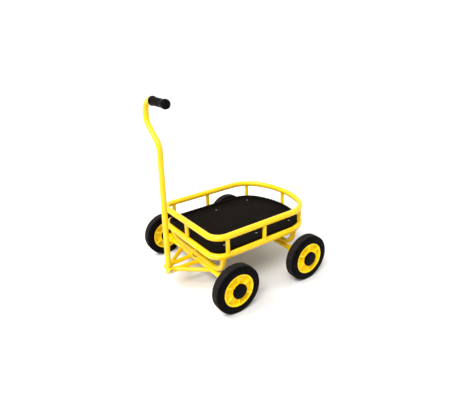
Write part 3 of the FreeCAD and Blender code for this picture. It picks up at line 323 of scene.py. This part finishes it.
def rounded(corners, steps=4):
    """A profile from (along, radius, rounding) corners in mm, each corner drawn as a curve."""
    points = [Vector((along, radius)) for along, radius, _ in corners]
    profile = [points[0]]
    for before, corner, after, spec in zip(points, points[1:], points[2:], corners[1:]):
        reach = min(spec[2], (before - corner).length * 0.49, (after - corner).length * 0.49)
        start = corner + (before - corner).normalized() * reach
        end = corner + (after - corner).normalized() * reach
        for step in range(steps + 1):
            t = step / steps
            profile.append(start * (1 - t) ** 2 + corner * 2 * t * (1 - t) + end * t ** 2)
    profile.append(points[-1])
    return profile


def skin(bm, here, there, closed):
    """Join two lines of points with four-sided faces; closed joins their ends too."""
    count = len(here) if closed else len(here) - 1
    for n in range(count):
        m = (n + 1) % len(here)
        bm.faces.new((here[n], here[m], there[m], there[n]))


def skin_round(bm, lines, closed=False):
    """Join each line of points to the next, and the last to the first."""
    for here, there in zip(lines, lines[1:] + lines[:1]):
        skin(bm, here, there, closed)


def turn_profile(bm, profile, centre, outward, steps):
    """Turn a profile about an axis along Y; outward is +1 or -1."""
    rings = []
    for step in range(steps):
        angle = 2 * math.pi * step / steps
        ring = []
        for along, radius in profile:
            ring.append(bm.verts.new((centre.x + radius * math.cos(angle) * MM,
                                      centre.y + outward * along * MM,
                                      centre.z + radius * math.sin(angle) * MM)))
        rings.append(ring)
    skin_round(bm, rings)


def add_object(name, data):
    """Put a new object with this data in the scene."""
    thing = bpy.data.objects.new(name, data)
    bpy.context.scene.collection.objects.link(thing)
    return thing


def smooth_mesh(name, bm):
    """Turn a bmesh into a mesh with smooth shading."""
    mesh = bpy.data.meshes.new(name)
    bm.to_mesh(mesh)
    bm.free()
    for face in mesh.polygons:
        face.use_smooth = True
    return mesh


def finish_piece(name, bm, material, body, replaced):
    """Make an object from a bmesh, tie it to a CAD body and let it replace a CAD node."""
    bmesh.ops.remove_doubles(bm, verts=bm.verts[:], dist=1e-6)
    bmesh.ops.recalc_face_normals(bm, faces=bm.faces[:])
    piece = add_object(name, smooth_mesh(name, bm))
    piece.data.materials.append(material)
    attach(piece, body)
    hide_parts(replaced)
    return piece


def half_size(node):
    """Half of a node's box, in metres."""
    low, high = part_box(node)
    return (high - low) / 2


def middle_of(node):
    """The middle of a node's box, in metres."""
    low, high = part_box(node)
    return (high + low) / 2


def outward_of(node):
    """+1 for a node on the left of the wagon and -1 for one on the right."""
    return math.copysign(1.0, middle_of(node).y)


def axle_span(node):
    """A turned node's axis at the wagon's middle, and its inner and outer faces in mm from it."""
    low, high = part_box(node)
    middle = middle_of(node)
    inner, outer = sorted((abs(low.y) / MM, abs(high.y) / MM))
    return Vector((middle.x, 0.0, middle.z)), inner, outer


# ---------------------------------------------------------------- tyres

TYRE_STEPS = 144
CROWN_FALL = 0.9
LINE_DRAFT = 0.25
LINE_EDGE_ROUNDING = 0.35
LINE_FLOOR_ROUNDING = 0.3
SHOULDER_LINE = 16.2
# Lines round the tread, from the outer edge to the inner: (place across, width, depth).
TREAD_LINES = (
    (SHOULDER_LINE, 1.1, 1.0),
    (12.0, 3.2, 2.4),
    (4.0, 3.2, 2.4),
    (-4.0, 3.2, 2.4),
    (-12.0, 3.2, 2.4),
    (-SHOULDER_LINE, 1.1, 1.0),
)
# Bead and sidewall corners: (in from the side face, out from the rim's edge, rounding).
SIDEWALL = (
    (5.0, -3.0, 0.0),
    (4.4, 0.2, 0.3),
    (1.3, 0.2, 0.5),
    (0.5, 1.6, 0.7),
    (0.5, 4.4, 0.5),
    (1.4, 5.0, 0.4),
    (1.4, 6.0, 0.4),
    (0.3, 6.8, 0.6),
    (0.02, 15.0, 4.0),
)
# Shoulder corners: (in from the side face, in from the tread, rounding).
SHOULDER = (
    (1.2, 8.6, 2.0),
    (2.1, 7.8, 0.4),
    (2.2, 7.0, 0.4),
    (1.9, 6.0, 1.0),
    (4.4, 1.5, 2.0),
)
# How far below the crown and how far in from the shoulder lines the painted highlight on the
# tread's raised bands reaches.
HIGHLIGHT_BAND_DEPTH = 0.9
HIGHLIGHT_BAND_MARGIN = 1.0


def tread(radius):
    """The crown from its outer to its inner edge, with round grooves and shoulder lines."""
    corners = []
    for along, width, depth in TREAD_LINES:
        top = radius - CROWN_FALL * (along / SHOULDER_LINE) ** 2
        edge = width / 2
        foot = edge - LINE_DRAFT
        corners += [
            (along + edge, top, LINE_EDGE_ROUNDING),
            (along + foot, top - depth, LINE_FLOOR_ROUNDING),
            (along - foot, top - depth, LINE_FLOOR_ROUNDING),
            (along - edge, top, LINE_EDGE_ROUNDING),
        ]
    return corners


def tyre(corner):
    """A solid tyre: bead, ringed sidewall, round shoulders and a grooved tread."""
    node = f"tyre_{corner}"
    centre = middle_of(node)
    half = half_size(node).y / MM
    radius = half_size(node).z / MM
    lip = half_size(f"rim_{corner}").z / MM
    side = [(half - inset, lip + rise, rounding) for inset, rise, rounding in SIDEWALL]
    side += [(half - inset, radius - drop, rounding) for inset, drop, rounding in SHOULDER]
    other = [(-along, rise, rounding) for along, rise, rounding in reversed(side)]
    bm = bmesh.new()
    turn_profile(bm, rounded(side + tread(radius) + other, 3), centre, outward_of(node), TYRE_STEPS)
    piece = finish_piece(f"moulded_tyre_{corner}", bm, TYRE_RUBBER, f"wheel_{corner}",
                         node)
    paint_tread_highlight(piece, centre, radius)


def paint_tread_highlight(piece, centre, radius):
    """Give the tread's raised bands the lighter rubber of the painted highlight."""
    piece.data.materials.append(TREAD_HIGHLIGHT_RUBBER)
    highlight_band_radius = (radius - HIGHLIGHT_BAND_DEPTH) * MM
    highlight_band_half = (SHOULDER_LINE - HIGHLIGHT_BAND_MARGIN) * MM
    for face in piece.data.polygons:
        away = face.center - centre
        if abs(away.y) < highlight_band_half and math.hypot(away.x, away.z) > highlight_band_radius:
            # These raised bands take the lighter rubber, a painted highlight on the ridges.
            face.material_index = 1


# ---------------------------------------------------------------- rims

RIBS = 6
BAY_STEPS = 5
RIB_TOP = 1.5
WEB_HALF = 5.0
WEB_LINES = (-7.0, 0.0, 7.0)
HUB_RADIUS = 26.0
HUB_FLAT = 2.0
LIP_WIDTH = 5.0
BORE_GAP = 0.1
BORE_EDGE = 0.6
# A rib's side, from its middle line outwards: (offset, drop). Drops are scaled to the web.
RIB_SIDE = ((0.0, 0.0), (2.3, 0.0), (3.0, 0.25), (3.4, 1.0), (4.2, 9.6), (4.8, 10.6), (6.2, 11.5))
# The wall between web and face, from its foot to its top: (offset, drop), scaled likewise.
WALL = ((0.0, 11.5), (1.4, 10.9), (2.1, 9.8), (3.2, 1.4), (3.8, 0.3), (4.8, 0.0))
WALL_WIDTH = WALL[-1][0]
# The outer edge: (in from the flange's radius, in from the face).
FLANGE_EDGE = ((0.9, 0.0), (0.2, 0.3), (0.0, 1.0), (0.0, 2.8), (0.5, 3.2), (3.5, 3.5))


def rim_rows(face, flange, bore):
    """The rim's half section from bore to tyre seat, in mm: (radius, height, carries ribs)."""
    share = (face - WEB_HALF) / WALL[0][1]
    lip = flange - LIP_WIDTH
    middle = (HUB_RADIUS + lip) / 2
    rows = [(bore, face - BORE_EDGE, False), (bore + BORE_EDGE, face, False),
            (HUB_RADIUS - HUB_FLAT, face, False)]
    rows += [(HUB_RADIUS + WALL_WIDTH - offset, face - drop * share, True)
             for offset, drop in reversed(WALL)]
    rows += [(middle + offset, WEB_HALF, True) for offset in WEB_LINES]
    rows += [(lip - WALL_WIDTH + offset, face - drop * share, True) for offset, drop in WALL]
    rows += [(flange - inset, face - drop, False) for inset, drop in FLANGE_EDGE]
    return rows


def rim_columns():
    """The lines round the rim: (rib's angle, offset in mm, share of the bay, drop in mm)."""
    edge, bottom = RIB_SIDE[-1]
    columns = []
    for rib in range(RIBS):
        spoke = 2 * math.pi * rib / RIBS
        columns += [(spoke, -offset, 0.0, drop) for offset, drop in reversed(RIB_SIDE[1:])]
        columns += [(spoke, offset, 0.0, drop) for offset, drop in RIB_SIDE]
        columns += [(spoke, edge, step / BAY_STEPS, bottom) for step in range(1, BAY_STEPS)]
    return columns


def rim(corner):
    """A moulded rim: a polar grid whose height rises to the hub, the lip and six ribs."""
    node = f"rim_{corner}"
    centre = middle_of(node)
    outward = outward_of(node)
    face = half_size(node).y / MM
    flange = half_size(node).z / MM
    bore = half_size(f"wheel_bearings_{corner}").z / MM + BORE_GAP
    rows = rim_rows(face, flange, bore)
    section = [(*row, 1.0) for row in rows] + [(*row, -1.0) for row in reversed(rows)]
    share = (face - RIB_TOP - WEB_HALF) / RIB_SIDE[-1][1]
    bm = bmesh.new()
    grid = []
    for spoke, offset, bay, drop in rim_columns():
        line = []
        for radius, height, ribbed, side in section:
            start = math.asin(offset / radius)
            angle = spoke + start + bay * 2 * (math.pi / RIBS - start)
            rise = max(height, face - RIB_TOP - drop * share) if ribbed else height
            line.append(bm.verts.new((centre.x + radius * math.sin(angle) * MM,
                                      centre.y + outward * side * rise * MM,
                                      centre.z + radius * math.cos(angle) * MM)))
        grid.append(line)
    skin_round(bm, grid, closed=True)
    piece = finish_piece(f"moulded_rim_{corner}", bm, RIM_PLASTIC, f"wheel_{corner}",
                         node)
    smooth = piece.modifiers.new("rounding", "SUBSURF")
    smooth.levels = 1
    smooth.render_levels = 1


# ---------------------------------------------------------------- hub caps

CAP_STEPS = 96
CAP_START = 3.0
CAP_BORE = 15.0
CAP_DRAFT = 0.1
CAP_BACK_ROUNDING = 0.5
# The face's corners: (in from the face, share of the cap's radius, rounding).
CAP_FACE = (
    (2.6, 1.0, 1.8),
    (1.1, 0.84, 1.2),
    (1.4, 0.81, 0.4),
    (0.9, 0.78, 0.6),
    (0.25, 0.4, 3.0),
    (0.05, 0.0, 0.0),
)
PIP_STEPS = 20
PIP_PLACE = 24.0
PIP_RADIUS = 1.9
PIP_FOOT = 2.0
PIP_TOP = 0.1
PIP_ROUNDING = 0.8


def hub_cap(corner):
    """A low black drum with a soft edge, a faint ring and two small moulded pips."""
    node = f"hub_cap_{corner}"
    outward = outward_of(node)
    place, inner, face = axle_span(node)
    radius = half_size(node).z / MM
    start = inner + CAP_START
    drum = [(start, CAP_BORE, 0.0), (start + CAP_DRAFT, radius, CAP_BACK_ROUNDING)]
    drum += [(face - inset, radius * share, rounding) for inset, share, rounding in CAP_FACE]
    pip = rounded([
        (face - PIP_FOOT, PIP_RADIUS, 0.0),
        (face - PIP_TOP, PIP_RADIUS, PIP_ROUNDING),
        (face - PIP_TOP, 0.0, 0.0),
    ])
    bm = bmesh.new()
    turn_profile(bm, rounded(drum), place, outward, CAP_STEPS)
    for side in (-1.0, 1.0):
        spot = place + Vector((side * PIP_PLACE * MM, 0.0, 0.0))
        turn_profile(bm, pip, spot, outward, PIP_STEPS)
    finish_piece(f"moulded_hub_cap_{corner}", bm, CAP_PLASTIC, f"wheel_{corner}",
                 node)


# ---------------------------------------------------------------- dust boots

BOOT_STEPS = 72
BOOT_BORE = 16.5
BOOT_NECK = 19.4
BOOT_ROUNDING = 0.6
BOOT_GAP = 0.1
FOLDS = 3
FOLD_START = 1.6
FOLD_PITCH = 4.0
# One fold's corners: (along from the fold's start, radius).
FOLD = ((0.0, 19.8), (0.9, 18.6), (1.9, 18.6), (2.6, 20.0))
CUFF_FOOT = 5.0
CUFF_FOOT_RADIUS = 22.6
CUFF_FOOT_ROUNDING = 1.0
CUFF_WIDTH = 4.4


def dust_boot(corner):
    """The ribbed black boot between a wheel and its collar."""
    node = f"dust_boot_{corner}"
    place, inner, outer = axle_span(node)
    radius = half_size(node).z / MM
    boot = [(inner + BOOT_GAP, BOOT_BORE, 0.0), (inner + BOOT_GAP, BOOT_NECK, BOOT_ROUNDING)]
    for fold in range(FOLDS):
        start = inner + FOLD_START + fold * FOLD_PITCH
        boot += [(start + along, height, BOOT_ROUNDING) for along, height in FOLD]
    boot += [
        (outer - CUFF_FOOT, CUFF_FOOT_RADIUS, CUFF_FOOT_ROUNDING),
        (outer - CUFF_WIDTH, radius, BOOT_ROUNDING),
        (outer - BOOT_GAP, radius, BOOT_ROUNDING),
        (outer - BOOT_GAP / 2, BOOT_BORE, 0.0),
    ]
    bm = bmesh.new()
    turn_profile(bm, rounded(boot, 3), place, outward_of(node), BOOT_STEPS)
    finish_piece(f"moulded_boot_{corner}", bm, CAP_PLASTIC, f"wheel_{corner}",
                 node)


# ---------------------------------------------------------------- grip

GRIP_STEPS = 96
GRIP_BORE = 11.0
GRIP_END_GAP = 0.05
WAIST_SHARE = 0.84
WAIST_START = 14.0
WAIST_ROUNDING = 4.0
# The inner flange: (along from the inner end, share of the ball's radius, rounding).
GRIP_FLANGE = ((GRIP_END_GAP, 0.9, 1.5), (1.6, 0.97, 2.0), (7.6, 0.97, 2.4))
RIBS_START = 17.0
RIBS_END_SHARE = 1.85
GRIP_RIBS = 15
RIB_HEIGHT = 0.35
RIB_ROUNDING = 0.5
# One ring of the waist: (share of the pitch, share of the height cut down).
RING = ((0.0, 0.0), (0.2, 1.0), (0.5, 1.0), (0.7, 0.0))
# The ball end, in shares of the ball's radius: (in from the end, radius, rounding in mm).
GRIP_BALL = (
    (1.72, WAIST_SHARE, 2.0),
    (1.38, 0.91, 3.0),
    (0.85, 1.0, 5.0),
    (0.3, 0.87, 4.0),
    (0.04, 0.46, 4.0),
    (0.0, 0.0, 0.0),
)


def grip():
    """The cross grip: rolled flange, finely ringed waist and a ball end."""
    node = "handle_grip"
    low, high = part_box(node)
    length = (high.y - low.y) / MM
    ball = half_size(node).z / MM
    waist = ball * WAIST_SHARE
    pitch = (length - ball * RIBS_END_SHARE - RIBS_START) / GRIP_RIBS
    profile = [(GRIP_END_GAP, GRIP_BORE, 0.0)]
    profile += [(along, ball * share, rounding) for along, share, rounding in GRIP_FLANGE]
    profile += [(WAIST_START, waist, WAIST_ROUNDING)]
    for rib in range(GRIP_RIBS):
        start = RIBS_START + rib * pitch
        profile += [(start + pitch * along, waist - RIB_HEIGHT * cut, RIB_ROUNDING)
                    for along, cut in RING]
    profile += [(length - ball * inset, ball * share, rounding)
                for inset, share, rounding in GRIP_BALL]
    place = middle_of(node)
    place.y = low.y
    bm = bmesh.new()
    turn_profile(bm, rounded(profile), place, 1.0, GRIP_STEPS)
    finish_piece("soft_grip", bm, GRIP_RUBBER, "handle", node)


# ---------------------------------------------------------------- weld beads

BEAD_RADIUS = 1.15
BEAD_POINTS = 72
BEAD_RIPPLES = 24
BEAD_RIPPLE = 0.16


def saddle(centre, along, branch, branch_radius, host_radius):
    """The closed line where a branch tube leaves a host tube, as points in metres.

    The host runs in the direction along through centre, and branch points up the branch."""
    across = branch.cross(along).normalized()
    forward = across.cross(branch).normalized()
    points = []
    for step in range(BEAD_POINTS):
        angle = 2 * math.pi * step / BEAD_POINTS
        offset = (forward * math.cos(angle) + across * math.sin(angle)) * branch_radius
        flat = offset - along * offset.dot(along)
        rise = branch - along * branch.dot(along)
        b = flat.dot(rise)
        a = rise.dot(rise)
        c = flat.dot(flat) - host_radius ** 2
        reach = (-b + math.sqrt(max(b * b - a * c, 0.0))) / a
        points.append(centre + offset + branch * reach)
    return points


def bead_curve(name, body, lines):
    """One object with a rippled, painted bead along every closed line."""
    data = bpy.data.curves.new(name, "CURVE")
    data.dimensions = "3D"
    data.bevel_depth = BEAD_RADIUS * MM
    data.bevel_resolution = 2
    for points in lines:
        spline = data.splines.new("POLY")
        spline.points.add(len(points) - 1)
        spline.use_cyclic_u = True
        for n, (target, point) in enumerate(zip(spline.points, points)):
            ripple = math.sin(2 * math.pi * n * BEAD_RIPPLES / BEAD_POINTS)
            target.co = (*point, 1.0)
            target.radius = 1.0 + BEAD_RIPPLE * ripple
    data.materials.append(PAINT)
    piece = add_object(name, data)
    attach(piece, body)


# How far the rails have turned from straight across where a rear corner post meets them.
CORNER_TURN = math.radians(54)
# The rails' direction at each post.
RAIL_DIRECTIONS = {
    "post_front": ACROSS,
    "post_rear": ACROSS,
    "post_side_front_left": FORWARDS,
    "post_side_front_right": FORWARDS,
    "post_side_middle_left": FORWARDS,
    "post_side_middle_right": FORWARDS,
    "post_rear_corner_left": Vector((math.sin(CORNER_TURN), math.cos(CORNER_TURN), 0.0)),
    "post_rear_corner_right": Vector((math.sin(CORNER_TURN), -math.cos(CORNER_TURN), 0.0)),
}


def rail_beads():
    """Beads where the posts meet the two rails."""
    lines = []
    for post, along in RAIL_DIRECTIONS.items():
        foot = middle_of(post)
        for rail, branch in (("lower_rail", UP), ("top_rail", -UP)):
            centre = Vector((foot.x, foot.y, middle_of(rail).z))
            lines.append(saddle(centre, along, branch, half_size(post).x, half_size(rail).z))
    bead_curve("rail_weld_beads", "chassis", lines)


def hoop_beads():
    """Beads where the hoops hang from the lower rail."""
    lines = []
    rail = "lower_rail"
    tube = half_size(rail).z
    side = half_size(rail).y - tube
    for hoop in ("front_hoop", "rear_hoop"):
        for sign in (-1.0, 1.0):
            centre = Vector((middle_of(hoop).x, sign * side, middle_of(rail).z))
            lines.append(saddle(centre, FORWARDS, -UP, half_size(hoop).x, tube))
    bead_curve("hoop_weld_beads", "chassis", lines)


def drawbar_beads():
    """Beads where the drawbar's two braces meet the front axle tube."""
    lines = []
    axle = "front_axle_tube"
    for brace in ("drawbar_brace_left", "drawbar_brace_right"):
        low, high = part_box(brace)
        radius = (high.z - low.z) / 2
        sign = outward_of(brace)
        far = max(abs(low.y), abs(high.y)) - radius
        near = min(abs(low.y), abs(high.y)) + radius
        foot = Vector((middle_of(axle).x, sign * far, middle_of(brace).z))
        branch = Vector((high.x - radius - foot.x, sign * (near - far), 0.0))
        lines.append(saddle(foot, ACROSS, branch.normalized(), radius, half_size(axle).z))
    bead_curve("drawbar_weld_beads", "steering", lines)


# ---------------------------------------------------------------- stage, light, camera

STAGE_REACH = 7000.0
STAGE_CLIMB = 6500.0
STAGE_TURN = math.radians(82)
STAGE_BENDS = 12
STAGE_STEPS = 128


def stage():
    """A pale studio floor that curves up into a pale rim all round."""
    profile = [(0.0, STAGE_REACH / 2), (0.0, STAGE_REACH)]
    for step in range(1, STAGE_BENDS + 1):
        turn = STAGE_TURN * step / STAGE_BENDS
        profile.append((STAGE_CLIMB * (1 - math.cos(turn)),
                        STAGE_REACH + STAGE_CLIMB * math.sin(turn)))
    bm = bmesh.new()
    rings = []
    for rise, radius in profile:
        ring = []
        for step in range(STAGE_STEPS):
            angle = 2 * math.pi * step / STAGE_STEPS
            ring.append(bm.verts.new((radius * math.cos(angle) * MM,
                                      radius * math.sin(angle) * MM, rise * MM)))
        rings.append(ring)
    bm.faces.new(rings[0])
    for inner, outer in zip(rings, rings[1:]):
        skin(bm, outer, inner, closed=True)
    floor = add_object("stage_floor", smooth_mesh("stage_floor", bm))
    floor.data.materials.append(stage_paper())


SKY_LOW = 0.3
SKY_HIGH = 1.05
SKY_FADE_FROM = 0.15
SKY_FADE_TO = 0.8


def sky():
    """A soft white sky, dimmer towards the horizon."""
    world = bpy.data.worlds.new("studio")
    world.use_nodes = True
    tree = world.node_tree
    background = tree.nodes["Background"]
    background.inputs["Color"].default_value = (1.0, 1.0, 1.0, 1.0)
    place = tree.nodes.new("ShaderNodeTexCoord")
    split = tree.nodes.new("ShaderNodeSeparateXYZ")
    ramp = tree.nodes.new("ShaderNodeMapRange")
    ramp.interpolation_type = "SMOOTHSTEP"
    for label, number in (("From Min", SKY_FADE_FROM), ("From Max", SKY_FADE_TO),
                          ("To Min", SKY_LOW), ("To Max", SKY_HIGH)):
        ramp.inputs[label].default_value = number
    tree.links.new(place.outputs["Generated"], split.inputs["Vector"])
    tree.links.new(split.outputs["Z"], ramp.inputs["Value"])
    tree.links.new(ramp.outputs["Result"], background.inputs["Strength"])
    bpy.context.scene.world = world


SUN_POWER = 2.1
SUN_WIDTH = math.radians(26)
SUN_COLOUR = (1.0, 0.99, 0.97)
SUN_DIRECTION = Vector((0.56, 0.36, 0.82))


def sun():
    """One broad, barely warm sun from the front left."""
    data = bpy.data.lights.new("sun", "SUN")
    data.energy = SUN_POWER
    data.angle = SUN_WIDTH
    data.color = SUN_COLOUR
    light = add_object("sun", data)
    light.rotation_euler = SUN_DIRECTION.to_track_quat("Z", "Y").to_euler()


STREAK_PLACE = Vector((1.72, -0.48, 2.54))
STREAK_AIM = Vector((0.29, -0.07, 0.65))
STREAK_SIDE = 0.9
STREAK_POWER = 36


def streak_light():
    """A square light high in front of the wagon, which draws highlights on the gloss paint."""
    data = bpy.data.lights.new("streak_light", "AREA")
    data.shape = "RECTANGLE"
    data.size = STREAK_SIDE
    data.size_y = STREAK_SIDE
    data.energy = STREAK_POWER
    light = add_object("streak_light", data)
    light.location = STREAK_PLACE
    light.rotation_euler = (STREAK_AIM - STREAK_PLACE).to_track_quat("-Z", "Y").to_euler()


CAMERA_PLACE = Vector((0.9332, 1.3248, 1.0086))
CAMERA_AZIMUTH = math.radians(145.51)
CAMERA_ELEVATION = math.radians(23.05)
CAMERA_ROLL = math.radians(-2.165)
LENS = 32.39
SENSOR_WIDTH = 36.0


def camera():
    """The photograph's view: from the front left, looking down, with plain contrast."""
    level = math.cos(CAMERA_ELEVATION)
    back = Vector((math.sin(CAMERA_AZIMUTH) * level, -math.cos(CAMERA_AZIMUTH) * level,
                   math.sin(CAMERA_ELEVATION)))
    right = Matrix.Rotation(CAMERA_ROLL, 3, back) @ UP.cross(back).normalized()
    up = back.cross(right)
    data = bpy.data.cameras.new("camera")
    data.lens = LENS
    data.sensor_width = SENSOR_WIDTH
    data.clip_start = 0.01
    eye = add_object("camera", data)
    turn = Matrix((right, up, back)).transposed().to_4x4()
    eye.matrix_world = Matrix.Translation(CAMERA_PLACE) @ turn
    bpy.context.scene.camera = eye
    bpy.context.scene.view_settings.view_transform = "Standard"


# ---------------------------------------------------------------- build

paint_cad_nodes()
for corner in WHEELS:
    tyre(corner)
    rim(corner)
    hub_cap(corner)
    dust_boot(corner)
grip()
rail_beads()
hoop_beads()
drawbar_beads()
stage()
sky()
sun()
streak_light()
camera()
